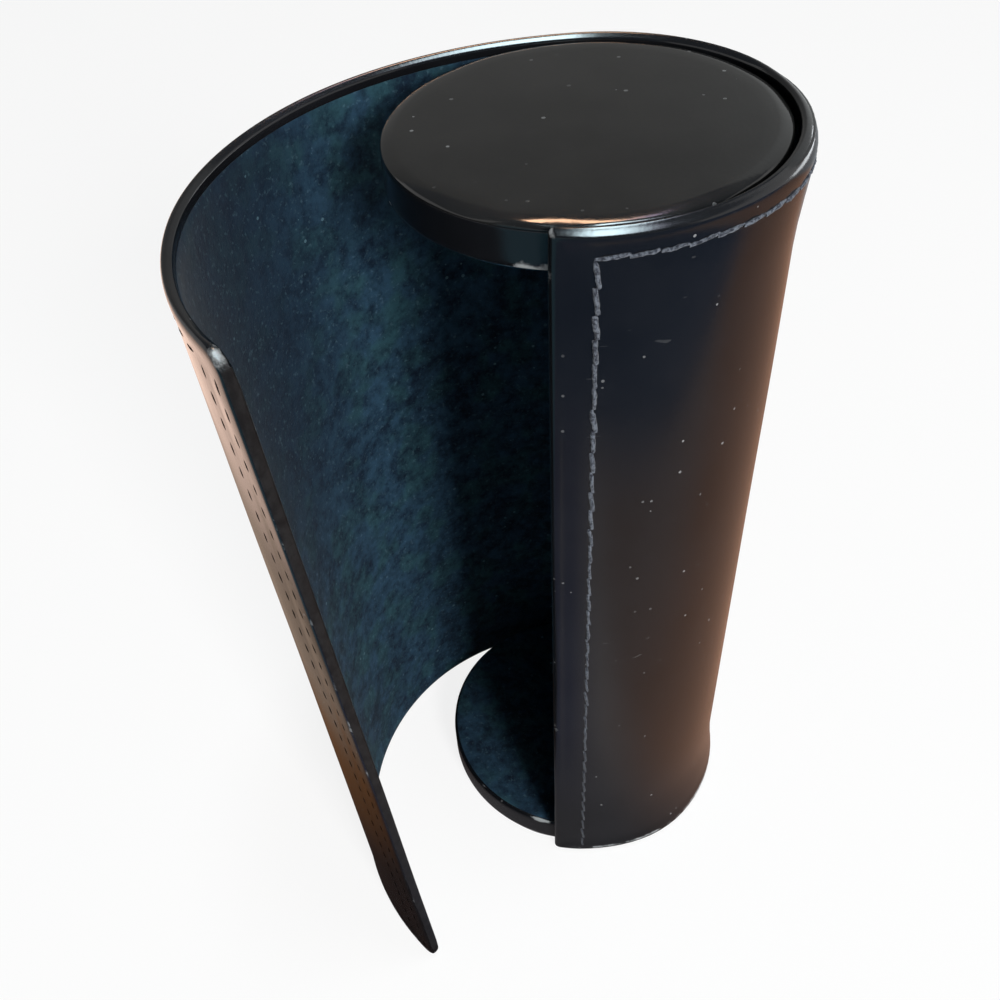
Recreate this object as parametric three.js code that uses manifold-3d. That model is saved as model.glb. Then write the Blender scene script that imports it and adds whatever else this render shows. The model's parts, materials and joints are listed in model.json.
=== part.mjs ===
// Hard glasses case: a standing leather tube with end caps and a flexible wrap-round flap.
// Millimetres, +Z up. The tube's axis is Z, it stands on z = 0, and the open flap leaves its back.
import * as THREE from 'three';
import { mergeVertices } from 'three/addons/utils/BufferGeometryUtils.js';
import Module from 'manifold-3d';

const wasm = await Module();
wasm.setup();

// Tube
const CASE_RADIUS = 33;
const CASE_HEIGHT = 166;
const WALL_FRONT_ANGLE = THREE.MathUtils.degToRad(-101);
const WALL_BACK_ANGLE = THREE.MathUtils.degToRad(90);
const WALL_LIFT = 0.3;

// Layers of the sheet that the wall and the flap are made of, from the outside in
const LEATHER = 0.4;
const BOARD = 0.6;
const LINING = 0.3;
const GLUE_GAP = 0.1;

// Leather turned in over the edges, and the bead that it forms at the rim
const TURN_IN = 5;
const RIM_BEAD = 0.5;
const RIM_BEAD_HEIGHT = 3.6;
const EDGE_WIDTH = 3.5;
const SEAM_GAP = 0.3;

// End caps
const CAP_THICKNESS = 7.4;
const CAP_CLEARANCE = 0.8;
const CAP_SETBACK = 0.3;
const CAP_FACE = 1.2;
const CAP_FACE_ROUND = 0.9;
const CAP_BAND = 0.6;
const CAP_BORDER = 4;

// Flap, open as it stands: its top edge leaves the tube in a wide curve that tightens to the free end
const FLAP_LENGTH = 127;
const FLAP_TOP_START_RADIUS = 63.4;
const FLAP_TOP_END_RADIUS = 47.6;
const FLAP_BOTTOM_RADIUS = 52;
const FLAP_LIFT = 0.4;
const FLAP_SEGMENTS = 8;
const FLAP_CLOSING_TURN = THREE.MathUtils.degToRad(9.6);
const FLAP_EDGE_SWELL = 0.7;
const FLAP_CORNER_RADIUS = 3;

// Closure: magnet strips in pockets of the wall's board and of the last flap board
const MAGNET_WIDTH = 6;
const MAGNET_LENGTH = 22;
const MAGNET_CLEARANCE = 0.3;
const MAGNET_PITCH = 44;
const MAGNET_ANGLE = THREE.MathUtils.degToRad(-80);
const MAGNET_NAMES = ['low', 'middle', 'high'];

// Fineness of the curved sheets, rounded corners and round caps
const WALL_STEPS = 40;
const SEGMENT_STEPS = 4;
const CURVE_STEPS = 24;
const CORNER_STEPS = 4;
const CAP_SIDES = 64;

// Depths of the layers below the outer leather surface, and sizes that follow from them
const BOARD_DEPTH = LEATHER + GLUE_GAP;
const LINING_DEPTH = BOARD_DEPTH + BOARD + GLUE_GAP;
const SHEET = LINING_DEPTH + LINING;
const CAP_RADIUS = CASE_RADIUS - SHEET - CAP_CLEARANCE;
const WALL_LENGTH = (WALL_BACK_ANGLE - WALL_FRONT_ANGLE) * CASE_RADIUS;
const SEGMENT_LENGTH = FLAP_LENGTH / FLAP_SEGMENTS;

const leather = new THREE.MeshStandardMaterial({ color: '#2d2c2e', roughness: 0.42 });
const suede = new THREE.MeshStandardMaterial({ color: '#1e3141', roughness: 0.95 });
const greyboard = new THREE.MeshStandardMaterial({ color: '#7a6c5b', roughness: 0.9 });
const magnet = new THREE.MeshStandardMaterial({ color: '#3b3a39', roughness: 0.7 });

const glassesCase = new THREE.Group();

function add(parent, name, geometry, material) {
  geometry.computeVertexNormals();
  const mesh = new THREE.Mesh(geometry, material.clone());
  mesh.name = name;
  parent.add(mesh);
}

function indexed(points, triangles) {
  const geometry = new THREE.BufferGeometry();
  geometry.setAttribute('position', new THREE.Float32BufferAttribute(points, 3));
  geometry.setIndex(triangles);
  return geometry;
}

// Closed solid through rings of points that share one outline, which also fills both ends
function loft(rings, outline) {
  const count = outline.length;
  const lastRing = (rings.length - 1) * count;
  const triangles = [];
  for (let ring = 0; ring < lastRing; ring += count) {
    for (let i = 0; i < count; i += 1) {
      const a = ring + i;
      const b = ring + ((i + 1) % count);
      triangles.push(a, b, b + count, a, b + count, a + count);
    }
  }
  const flat = outline.map(([x, y]) => new THREE.Vector2(x, y));
  for (const [a, b, c] of THREE.ShapeUtils.triangulateShape(flat, [])) {
    triangles.push(a, c, b, lastRing + a, lastRing + b, lastRing + c);
  }
  const points = rings.flat().flatMap((point) => point.toArray());
  return indexed(points, triangles);
}

// Sweeps an outline of [depth, height] points along a curved sheet.
// The two ends may draw back with depth, by the tangent of an angle.
function sweep(place, outline, first, last, steps, drawBack = 0) {
  const rings = [];
  for (let step = 0; step <= steps; step += 1) {
    const ring = outline.map(([depth, height]) => {
      const back = Math.max(depth, 0) * drawBack;
      return place(THREE.MathUtils.lerp(first + back, last - back, step / steps), height, depth);
    });
    rings.push(ring);
  }
  return loft(rings, outline);
}

function toSolid(geometry) {
  const merged = mergeVertices(geometry);
  return new wasm.Manifold(new wasm.Mesh({
    numProp: 3,
    vertProperties: new Float32Array(merged.attributes.position.array),
    triVerts: new Uint32Array(merged.index.array),
  }));
}

function cut(geometry, tools) {
  let solid = toSolid(geometry);
  for (const tool of tools) {
    solid = solid.subtract(toSolid(tool));
  }
  const mesh = solid.getMesh();
  return indexed(Array.from(mesh.vertProperties), Array.from(mesh.triVerts));
}

function slab(outer, inner, low, high) {
  return [[outer, low], [inner, low], [inner, high], [outer, high]];
}

// The leather folds round both edges, lies on the inside as a turn-in and swells to a bead at the rim.
function leatherOutline(low, high) {
  const quarter = RIM_BEAD_HEIGHT / 4;
  return [
    [0, low],
    [SHEET, low],
    [SHEET, low + TURN_IN],
    [LINING_DEPTH, low + TURN_IN],
    [LINING_DEPTH, low + LEATHER],
    [LEATHER, low + LEATHER],
    [LEATHER, high - LEATHER],
    [LINING_DEPTH, high - LEATHER],
    [LINING_DEPTH, high - TURN_IN],
    [SHEET, high - TURN_IN],
    [SHEET, high],
    [0, high],
    [-RIM_BEAD, high - quarter],
    [-RIM_BEAD, high - 3 * quarter],
    [0, high - RIM_BEAD_HEIGHT],
  ];
}

function boardOutline(low, high) {
  return slab(BOARD_DEPTH, BOARD_DEPTH + BOARD, low + BOARD_DEPTH, high - BOARD_DEPTH);
}

function liningOutline(low, high) {
  return slab(LINING_DEPTH, SHEET, low + TURN_IN + SEAM_GAP, high - TURN_IN - SEAM_GAP);
}

// Point of the wall, by the arc length from its front edge
function onWall(along, height, depth) {
  const angle = WALL_FRONT_ANGLE + along / CASE_RADIUS;
  const radius = CASE_RADIUS - depth;
  return new THREE.Vector3(radius * Math.cos(angle), radius * Math.sin(angle), height);
}

// Point of a curve that leaves the back of the tube along its tangent, and whose bend changes evenly
function onCurve(startRadius, endRadius, along, height, depth) {
  const bendChange = (1 / endRadius - 1 / startRadius) / FLAP_LENGTH;
  const headingAt = (length) => length / startRadius + (bendChange * length * length) / 2;
  const stride = along / CURVE_STEPS;
  let x = 0;
  let y = CASE_RADIUS;
  for (let step = 0; step < CURVE_STEPS; step += 1) {
    const heading = headingAt((step + 0.5) * stride);
    x -= stride * Math.cos(heading);
    y -= stride * Math.sin(heading);
  }
  const heading = headingAt(along);
  return new THREE.Vector3(x + depth * Math.sin(heading), y - depth * Math.cos(heading), height);
}

// Point of the open flap: straight lines join its bottom edge to its top edge
function onFlap(along, height, depth) {
  const bottom = onCurve(FLAP_BOTTOM_RADIUS, FLAP_BOTTOM_RADIUS, along, 0, depth);
  const top = onCurve(FLAP_TOP_START_RADIUS, FLAP_TOP_END_RADIUS, along, CASE_HEIGHT, depth);
  return bottom.lerp(top, height / CASE_HEIGHT);
}

// Folded leather edge strip from its near side to its free side, with the free corners rounded
function edgeStrip(place, near, free, outer, inner, low, high, corner) {
  const soft = (inner - outer) / 3;
  const away = Math.sign(free - near);
  const outline = [
    [near, outer],
    [free - away * soft, outer],
    [free, outer + soft],
    [free, inner - soft],
    [free - away * soft, inner],
    [near, inner],
  ];
  const ordered = away > 0 ? outline : outline.toReversed();
  const levels = [];
  for (let step = 0; step <= CORNER_STEPS; step += 1) {
    const angle = (step / CORNER_STEPS) * (Math.PI / 2);
    levels.push({ rise: corner * (1 - Math.cos(angle)), back: corner * (1 - Math.sin(angle)) });
  }
  const lower = levels.map(({ rise, back }) => ({ height: low + rise, back }));
  const upper = levels.toReversed().map(({ rise, back }) => ({ height: high - rise, back }));
  const rings = [...lower, ...upper].map(({ height, back }) => ordered.map(([along, depth]) => {
    const shift = along === near ? 0 : away * back;
    return place(along - shift, height, depth);
  }));
  return loft(rings, ordered);
}

// Magnet strips and the pockets they lie in, side by side up the sheet
function magnetStrips(place, middle, clearance, through) {
  const half = MAGNET_WIDTH / 2 + clearance;
  return MAGNET_NAMES.map((_, index) => {
    const height = CASE_HEIGHT / 2 + (index - (MAGNET_NAMES.length - 1) / 2) * MAGNET_PITCH;
    const reach = MAGNET_LENGTH / 2 + clearance;
    const outline = slab(BOARD_DEPTH - through, BOARD_DEPTH + BOARD + through, height - reach, height + reach);
    return sweep(place, outline, middle - half, middle + half, SEGMENT_STEPS);
  });
}

function addMagnets(parent, prefix, place, middle) {
  magnetStrips(place, middle, 0, 0).forEach((strip, index) => {
    add(parent, `${prefix}_magnet_${MAGNET_NAMES[index]}`, strip, magnet);
  });
}

function addWall(parent) {
  const low = WALL_LIFT;
  const high = CASE_HEIGHT;
  const first = EDGE_WIDTH + SEAM_GAP;
  const last = WALL_LENGTH - SEAM_GAP / 2;
  const magnetPlace = (MAGNET_ANGLE - WALL_FRONT_ANGLE) * CASE_RADIUS;
  const pockets = magnetStrips(onWall, magnetPlace, MAGNET_CLEARANCE, GLUE_GAP);
  const plainBoard = sweep(onWall, boardOutline(low, high), first, last, WALL_STEPS);
  add(parent, 'wall_leather', sweep(onWall, leatherOutline(low, high), first, last, WALL_STEPS), leather);
  add(parent, 'wall_board', cut(plainBoard, pockets), greyboard);
  add(parent, 'wall_lining', sweep(onWall, liningOutline(low, high), first, last, WALL_STEPS), suede);
  add(parent, 'wall_edge', edgeStrip(onWall, EDGE_WIDTH, 0, 0, SHEET, low, high, CAP_BAND), leather);
  addMagnets(parent, 'wall', onWall, magnetPlace);
}

function turned(points) {
  const profile = points.map(([radius, height]) => new THREE.Vector2(radius, height));
  return new THREE.LatheGeometry(profile, CAP_SIDES).rotateX(Math.PI / 2);
}

function disc(radius, low, high) {
  return turned([[0, low], [radius, low], [radius, high], [0, high]]);
}

// End cap with its outer face on z = 0 and its lined face up
function endCap(prefix) {
  const cap = new THREE.Group();
  const bandStart = CAP_FACE + GLUE_GAP;
  const liningLow = CAP_THICKNESS - LINING;
  const coreHigh = liningLow - GLUE_GAP;
  const borderRadius = CAP_RADIUS - CAP_BORDER;
  const face = [
    [0, 0],
    [CAP_RADIUS - CAP_FACE_ROUND, 0],
    [CAP_RADIUS, CAP_FACE_ROUND],
    [CAP_RADIUS, CAP_FACE],
    [0, CAP_FACE],
  ];
  const band = [
    [CAP_RADIUS - CAP_BAND, bandStart],
    [CAP_RADIUS, bandStart],
    [CAP_RADIUS, CAP_THICKNESS],
    [borderRadius, CAP_THICKNESS],
    [borderRadius, liningLow],
    [CAP_RADIUS - CAP_BAND, liningLow],
    [CAP_RADIUS - CAP_BAND, bandStart],
  ];
  add(cap, `${prefix}_face`, turned(face), leather);
  add(cap, `${prefix}_band`, turned(band), leather);
  add(cap, `${prefix}_core`, disc(CAP_RADIUS - CAP_BAND - GLUE_GAP, bandStart, coreHigh), greyboard);
  add(cap, `${prefix}_lining`, disc(borderRadius - SEAM_GAP, liningLow, CAP_THICKNESS), suede);
  return cap;
}

function addCaps(parent) {
  const bottom = endCap('bottom_cap');
  const top = endCap('top_cap');
  top.rotation.x = Math.PI;
  top.position.z = CASE_HEIGHT - CAP_SETBACK;
  parent.add(bottom, top);
}

// One stiff strip of the flexible flap: its ends draw back inwards so that the strips can close up
function addFlapSegment(parent, number) {
  const low = FLAP_LIFT;
  const high = CASE_HEIGHT;
  const isLast = number === FLAP_SEGMENTS;
  const first = (number - 1) * SEGMENT_LENGTH + SEAM_GAP / 2;
  const last = isLast ? FLAP_LENGTH - EDGE_WIDTH - SEAM_GAP : number * SEGMENT_LENGTH - SEAM_GAP / 2;
  const drawBack = Math.tan(FLAP_CLOSING_TURN / 2);
  const layer = (outline) => sweep(onFlap, outline, first, last, SEGMENT_STEPS, drawBack);
  const magnetPlace = (first + last) / 2;
  const pockets = isLast ? magnetStrips(onFlap, magnetPlace, MAGNET_CLEARANCE, GLUE_GAP) : [];
  add(parent, `flap_leather_${number}`, layer(leatherOutline(low, high)), leather);
  add(parent, `flap_board_${number}`, cut(layer(boardOutline(low, high)), pockets), greyboard);
  add(parent, `flap_lining_${number}`, layer(liningOutline(low, high)), suede);
  if (isLast) {
    addMagnets(parent, 'flap', onFlap, magnetPlace);
  }
}

function addFlap(parent) {
  for (let number = 1; number <= FLAP_SEGMENTS; number += 1) {
    addFlapSegment(parent, number);
  }
  const outer = -FLAP_EDGE_SWELL;
  const inner = SHEET + FLAP_EDGE_SWELL;
  const near = FLAP_LENGTH - EDGE_WIDTH;
  const strip = edgeStrip(onFlap, near, FLAP_LENGTH, outer, inner, FLAP_LIFT, CASE_HEIGHT, FLAP_CORNER_RADIUS);
  add(parent, 'flap_edge', strip, leather);
}

addWall(glassesCase);
addCaps(glassesCase);
addFlap(glassesCase);

export default glassesCase;
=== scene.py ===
"""Looks of a hard glasses case: a leather tube with end caps and an open wrap-round flap."""
import json
import math

import bmesh
import bpy
import numpy as np
from mathutils import Matrix, Vector


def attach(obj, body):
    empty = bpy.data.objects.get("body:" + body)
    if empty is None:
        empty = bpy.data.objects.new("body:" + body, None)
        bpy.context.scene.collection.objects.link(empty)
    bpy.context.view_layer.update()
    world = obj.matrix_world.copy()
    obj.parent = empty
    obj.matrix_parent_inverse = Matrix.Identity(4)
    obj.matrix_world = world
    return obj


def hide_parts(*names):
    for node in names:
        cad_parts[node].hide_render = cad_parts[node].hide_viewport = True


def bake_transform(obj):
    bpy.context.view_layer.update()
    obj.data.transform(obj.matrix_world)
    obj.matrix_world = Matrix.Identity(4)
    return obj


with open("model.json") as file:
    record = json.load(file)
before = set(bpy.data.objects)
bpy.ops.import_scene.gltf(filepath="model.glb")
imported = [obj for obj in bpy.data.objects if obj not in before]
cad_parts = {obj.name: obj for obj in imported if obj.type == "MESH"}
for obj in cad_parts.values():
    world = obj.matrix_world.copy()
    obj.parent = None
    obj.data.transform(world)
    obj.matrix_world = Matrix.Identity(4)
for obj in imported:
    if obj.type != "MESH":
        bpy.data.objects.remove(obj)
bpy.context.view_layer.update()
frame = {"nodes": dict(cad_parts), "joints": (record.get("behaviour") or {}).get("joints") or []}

MM = 0.001

# Tube and flap sheet, in millimetres, as in the part
CASE_RADIUS = 33.0
CASE_HEIGHT = 166.0
WALL_FRONT = -math.radians(191) * CASE_RADIUS
FLAP_LENGTH = 127.0
FLAP_TOP_START_RADIUS = 63.4
FLAP_TOP_END_RADIUS = 47.6
FLAP_BOTTOM_RADIUS = 52.0
FLAP_SEGMENTS = 8
SEGMENT = FLAP_LENGTH / FLAP_SEGMENTS
CURVE_STEPS = 24

# Layers, from the outer leather surface inwards, and the edges turned in over them
LEATHER = 0.4
LINING_DEPTH = 1.2
SHEET = 1.5
TURN_IN = 5.0
SHEET_LOW = 0.35
SHEET_HIGH = CASE_HEIGHT
BAND = 6.0
WALL_CORNER = 0.9
FLAP_CORNER = 3.0

# Suede: gap to the turned-in edge, what it leaves bare where it laps over, its edge and its swell
LINING_GAP = 0.12
FOOT_SHOWN = 0.9
RIM_SHOWN = 2.0
SOFT_EDGE = 0.5
SUEDE_ROWS = 24
SUEDE_SWELL = 0.05
TUCK_SINK = 0.12
TUCK_SWELL = 0.03
LAP_LIFT = 0.02
LAP_SWELL = 0.26

# Stretched side of the wall: its flare, and between which places along it starts and ends
FLARE = 1.1
FLARE_HEIGHT = 18.0
FOOT_FLARE = 1.1
FOOT_FLARE_HEIGHT = 17.0
STRETCH_START = (-88.0, -64.0)
FOOT_STRETCH_START = (-102.0, -78.0)
STRETCH_END = (-24.0, -44.0)
FLAP_RIM_START = (-60.0, -45.0)

# Caps
CAP_RADIUS = 30.7
CAP_THICKNESS = 7.4
CAP_SETBACK = 0.3
CAP_FACE = 1.2
CAP_BORDER = 4.0
CAP_SHOWN = 0.7
CAP_LINING = 0.3

# Uneven edge of the caps' leather: how far in it is loose, its waves (size, count, phase) and
# how much they show all round and in front
CAP_LOOSE = 0.14 * CAP_RADIUS
CAP_LOOSE_DEPTH = 0.7 * CAP_FACE
CAP_WAVES = ((0.05, 5, 0.4), (0.07, 11, 1.1), (0.03, 17, 0.0))
CAP_DRAWN_IN = 0.2
WAVES_ROUND = 0.6
WAVES_IN_FRONT = 3.4
WAVES_WIDTH = 0.55
FRONT_ANGLE = 1.5 * math.pi

# Wear: at folded corners and up the edge from them, and round the caps, most at one angle
CORNER_WEAR = 0.9
UPRIGHT_WEAR = 0.75
SIDE_WEAR = 1.3
SIDE_WEAR_FADE = 6.0
CAP_WEAR = 0.75
RUBBED_MORE = 0.8
RUBBED_ANGLE = math.radians(253)
RUBBED_WIDTH = 0.11

# Stitching
STITCH_PITCH = 4.2
STITCH_LENGTH = 4.2
STITCH_ARCH = 0.14
STITCH_SINK = 0.2
THREAD_RADIUS = 0.32
STITCH_LEAN = math.radians(5)
STITCH_SLANT = math.radians(4)
EDGE_STITCH_LENGTH = 3.2
EDGE_THREAD_RADIUS = 0.15
EDGE_STITCH_ARCH = 0.05
FRAY = 0.55
FRAY_SCALE = 1100.0
WALL_ROW = WALL_FRONT + 6.6
WALL_ROW_FOOT = 4.0
RIM_ROW = SHEET_HIGH - 4.1
ROW_GAP = 2.0
FREE_EDGE_ROWS = ((2.6, -0.26), (7.0, 0.03))
FREE_EDGE_ROW_FOOT = 5.0
FREE_EDGE_ROW_GAP = 1.0
STITCHES_PER_SEGMENT = 4
STITCH_STEPS = 10
THREAD_SIDES = 7
STITCH_SCALES = ((0.92, 0.9, 0.85), (1.1, 1.1, 1.15))
PROBE = 0.5
FULLER_HEIGHTS = (70.0, 150.0)
LEAST_FULL, FULLER = 0.8, 0.5
BURIED_PLACES = (-76.0, -60.0)
BURIED = 0.5
FRONT_SEED, RIM_SEED, FLAP_RIM_SEED, FREE_EDGE_SEED = 5, 6, 11, 30

# Fineness of the meshes
WALL_STEP = 2.4
FLAP_STEP = 1.6
PANEL_ROWS = 40
SEAM_FACET = 0.05
KEY_STEPS = 3
PAINTED_KEYS = (8, 12)
CORNER_LEGS = 4
CORNER_ARC = 7
WELD = 2e-6
SMOOTH_ANGLE = math.radians(48)
CAP_SIDES = 160
DOME_RINGS = 14

# Leather's blotches, colours laid over leather and suede, and, in metres, where the thread's
# painted shade and the suede's darker part begin
BLOTCH_LIGHTER = 1.5
BLOTCH_ROUGHER = 0.08
LEATHER_IOR = 1.4
DUST = (0.34, 0.35, 0.36)
SCUFFED = (0.36, 0.38, 0.39)
LINT = (0.12, 0.22, 0.27)
THREAD_SHADE_HEIGHTS = (0.02, 0.10)
THREAD_SHADED_SHARE = 0.36
DARKER_SUEDE_ACROSS = (-0.038, -0.056)
DARKER_SUEDE_UP = (0.05, 0.12)

# Studio: white share of the floor that the camera sees, ambient light, and the photo's camera
FLOOR_WHITE = 0.85
FLOOR_HALF = 6.0
AMBIENT = 0.14
SENSOR = 36.0
LENS = 37.304
LENS_SHIFT = (0.0681, -0.0065)
CAMERA_PLACE = (-0.00907, -0.15106, 0.23549)
CAMERA_RIGHT = (0.99491, 0.04826, -0.08841)
CAMERA_UP = (0.02941, 0.70029, 0.71325)
NEAREST_SEEN = 0.01


def on_curve(start_radius, end_radius, along, height, depth):
    """Point of a curve that leaves the back of the tube and whose bend changes evenly."""
    change = (1 / end_radius - 1 / start_radius) / FLAP_LENGTH
    middles = (np.arange(CURVE_STEPS) + 0.5) / CURVE_STEPS
    passed = along[..., None] * middles
    headings = passed / start_radius + change * passed ** 2 / 2
    x = -along * np.cos(headings).mean(-1)
    y = CASE_RADIUS - along * np.sin(headings).mean(-1)
    heading = along / start_radius + change * along ** 2 / 2
    return np.stack([x + depth * np.sin(heading), y - depth * np.cos(heading), height], -1)


def on_sheet(along, height, depth):
    """Point of the sheet: the wall where along is below 0, the open flap beyond."""
    numbers = (np.asarray(v, float) for v in (along, height, depth))
    along, height, depth = np.broadcast_arrays(*numbers)
    turn = math.pi / 2 + along / CASE_RADIUS
    reach = CASE_RADIUS - depth
    wall = np.stack([reach * np.cos(turn), reach * np.sin(turn), height], -1)
    level = (height / CASE_HEIGHT)[..., None]
    zero = np.zeros_like(height)
    bottom = on_curve(FLAP_BOTTOM_RADIUS, FLAP_BOTTOM_RADIUS, along, zero, depth)
    top = on_curve(FLAP_TOP_START_RADIUS, FLAP_TOP_END_RADIUS, along, zero + CASE_HEIGHT, depth)
    flap = bottom + (top - bottom) * level
    return np.where((along <= 0)[..., None], wall, flap)


def sheet_waves(along, height):
    """Slight unevenness of the leather over its board, in millimetres of depth."""
    return (
        0.030 * np.sin(along / 9.1 + 0.7 * np.sin(height / 23.0))
        + 0.028 * np.sin(height / 12.7 + 1.3 + 0.6 * np.sin(along / 17.0))
        + 0.018 * np.sin(along / 5.3 + height / 8.9 + 2.1)
    )


def smooth_step(value, low, high):
    share = np.clip((value - low) / (high - low), 0, 1)
    return share * share * (3 - 2 * share)


def stretched_share(along, start=STRETCH_START):
    """1 on the wall's right side, where the cap has stretched it, fading to 0 on either hand."""
    return smooth_step(along, *start) * smooth_step(along, *STRETCH_END)


def on_cover(along, height, depth):
    """Point of the leather cover: uneven, and flared at rim and foot on its stretched side."""
    at_rim = smooth_step(height, CASE_HEIGHT - FLARE_HEIGHT, CASE_HEIGHT)
    at_foot = smooth_step(height, FOOT_FLARE_HEIGHT, 0.0)
    flare = FLARE * stretched_share(along) * at_rim
    flare = flare + FOOT_FLARE * stretched_share(along, FOOT_STRETCH_START) * at_foot
    inner = np.clip(depth / SHEET, 0, 1)
    return on_sheet(along, height, depth + sheet_waves(along, height) - flare * (1 - inner))


def add_object(name, data):
    thing = bpy.data.objects.new(name, data)
    bpy.context.scene.collection.objects.link(thing)
    return thing


def build_piece(name, points, faces, material, wear=None, painted=None):
    """Welds points into one closed piece, points its faces outwards and shades it smooth.

    painted is a material with the places of the faces that have it.
    """
    mesh = bpy.data.meshes.new(name)
    mesh.from_pydata([tuple(p) for p in np.asarray(points) * MM], [], faces)
    mesh.materials.append(material)
    if painted:
        mesh.materials.append(painted[0])
        for place in painted[1]:
            mesh.polygons[place].material_index = 1
    if wear is not None:
        layer = mesh.attributes.new("wear", "FLOAT", "POINT")
        layer.data.foreach_set("value", np.asarray(wear, np.float32))
    bm = bmesh.new()
    bm.from_mesh(mesh)
    bmesh.ops.remove_doubles(bm, verts=bm.verts, dist=WELD)
    bmesh.ops.holes_fill(bm, edges=[e for e in bm.edges if e.is_boundary], sides=0)
    bmesh.ops.recalc_face_normals(bm, faces=bm.faces)
    bm.to_mesh(mesh)
    bm.free()
    mesh.shade_smooth()
    mesh.set_sharp_from_angle(angle=SMOOTH_ANGLE)
    return add_object(name, mesh)


def grid_faces(rows, columns, first=0):
    """Quads of a grid of points that is stored row by row."""
    faces = []
    for r in range(rows - 1):
        for c in range(columns - 1):
            a = first + r * columns + c
            faces.append((a, a + 1, a + columns + 1, a + columns))
    return faces


def spline(keys):
    """Smooth run through key rows of numbers."""
    keys = np.asarray(keys, float)
    padded = np.vstack([2 * keys[0] - keys[1], keys, 2 * keys[-1] - keys[-2]])
    run = []
    for i in range(len(keys) - 1):
        a, b, c, d = padded[i:i + 4]
        for t in np.arange(KEY_STEPS) / KEY_STEPS:
            run.append(0.5 * (2 * b + (c - a) * t + (2 * a - 5 * b + 4 * c - d) * t ** 2
                              + (3 * b - a - 3 * c + d) * t ** 3))
    run.append(keys[-1])
    return np.array(run)


# Leather edges, from outside to inside: distance from the edge, depth below the outer surface, wear
INNER_SIDE = [(3.0, 1.5, 0.0), (4.85, 1.5, 0.1), (5.02, 1.36, 0.0)]
RIM_KEYS = [
    (6.0, 0.0, 0.0), (5.4, 0.0, 0.0), (4.7, 0.0, 0.0), (4.0, 0.0, 0.0), (3.3, -0.02, 0.0),
    (2.6, 0.0, 0.0), (1.9, 0.1, 0.1), (1.2, 0.28, 0.2), (0.65, 0.52, 0.3), (0.22, 0.82, 0.3),
    (0.0, 1.1, 0.1), (0.05, 1.32, 0.1), (0.35, 1.5, 0.2), (0.9, 1.54, 0.0),
] + INNER_SIDE
BEAD_KEYS = [
    (6.0, 0.0, 0.0), (5.2, 0.0, 0.0), (4.4, -0.01, 0.0), (3.6, -0.04, 0.0), (2.9, -0.09, 0.0),
    (2.2, -0.17, 0.1), (1.7, -0.25, 0.2), (1.3, -0.29, 0.3), (0.95, -0.22, 0.35), (0.42, 0.38, 0.3),
    (0.12, 0.68, 0.1), (0.06, 0.88, 0.1), (0.32, 1.2, 0.2), (0.85, 1.56, 0.0),
] + INNER_SIDE
FLAP_RIM_KEYS = [
    (6.0, 0.0, 0.0), (5.2, 0.0, 0.0), (4.4, 0.0, 0.0), (3.6, -0.02, 0.0), (2.9, -0.05, 0.0),
    (2.2, -0.1, 0.1), (1.6, -0.14, 0.2), (1.0, -0.14, 0.3), (0.5, -0.06, 0.35), (0.18, 0.12, 0.3),
    (0.02, 0.38, 0.1), (0.05, 0.7, 0.1), (0.4, 1.2, 0.2), (0.9, 1.55, 0.0),
] + INNER_SIDE
FOOT_KEYS = [
    (6.0, 0.0, 0.0), (4.6, -0.02, 0.0), (3.4, -0.1, 0.1), (2.4, -0.2, 0.3), (1.8, -0.22, 0.7),
    (1.3, -0.26, 0.8), (0.9, -0.26, 0.5), (0.5, -0.14, 0.3), (0.2, 0.14, 0.3), (0.04, 0.5, 0.2),
    (0.0, 0.8, 0.0), (0.1, 1.12, 0.0), (0.35, 1.38, 0.0), (0.9, 1.52, 0.0),
] + INNER_SIDE
FRONT_KEYS = [
    (6.0, 0.0, 0.0), (4.0, 0.0, 0.0), (2.8, 0.0, 0.0), (2.1, -0.04, 0.1), (1.6, -0.1, 0.2),
    (1.1, -0.12, 0.3), (0.65, -0.04, 0.4), (0.3, 0.15, 0.4), (0.08, 0.45, 0.3), (0.0, 0.8, 0.2),
    (0.06, 1.15, 0.2), (0.25, 1.45, 0.3), (0.6, 1.62, 0.3), (1.2, 1.62, 0.1),
] + INNER_SIDE
FREE_EDGE_KEYS = [
    (6.0, 0.0, 0.0), (5.2, -0.01, 0.0), (4.4, -0.08, 0.0), (3.6, -0.18, 0.0), (2.8, -0.27, 0.0),
    (2.0, -0.34, 0.1), (1.2, -0.37, 0.2), (0.5, -0.34, 0.4), (0.1, -0.1, 0.5), (0.0, 0.3, 0.2),
    (0.0, 0.9, 0.1), (0.06, 1.4, 0.3), (0.35, 1.76, 0.8), (0.9, 1.86, 0.9),
    (2.6, 1.74, 0.1), (4.85, 1.52, 0.0), (5.02, 1.36, 0.0),
]
UNDERSIDE = [
    (5.0, 1.2, 0.0), (0.7, 1.2, 0.0), (0.5, 1.08, 0.0), (0.5, 0.52, 0.0),
    (0.65, LEATHER, 0.0), (6.0, LEATHER, 0.0),
]
RIM, BEAD, FLAP_RIM, FOOT, FRONT, FREE_EDGE = (
    np.vstack([spline(keys), UNDERSIDE])
    for keys in (RIM_KEYS, BEAD_KEYS, FLAP_RIM_KEYS, FOOT_KEYS, FRONT_KEYS, FREE_EDGE_KEYS)
)


def rim_at(along):
    """Rim profile: a bead at the front, upright where stretched, squarer round the flap."""
    share = stretched_share(along)
    turned = smooth_step(along, *FLAP_RIM_START)
    return RIM * share + (BEAD * (1 - turned) + FLAP_RIM * turned) * (1 - share)


def stations(first, last, step):
    """Even stations along the sheet, with a very short facet at each end."""
    count = max(2, round(abs(last - first) / step))
    toward = math.copysign(SEAM_FACET, last - first)
    return np.concatenate([[first], np.linspace(first + toward, last - toward, count), [last]])


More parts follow.
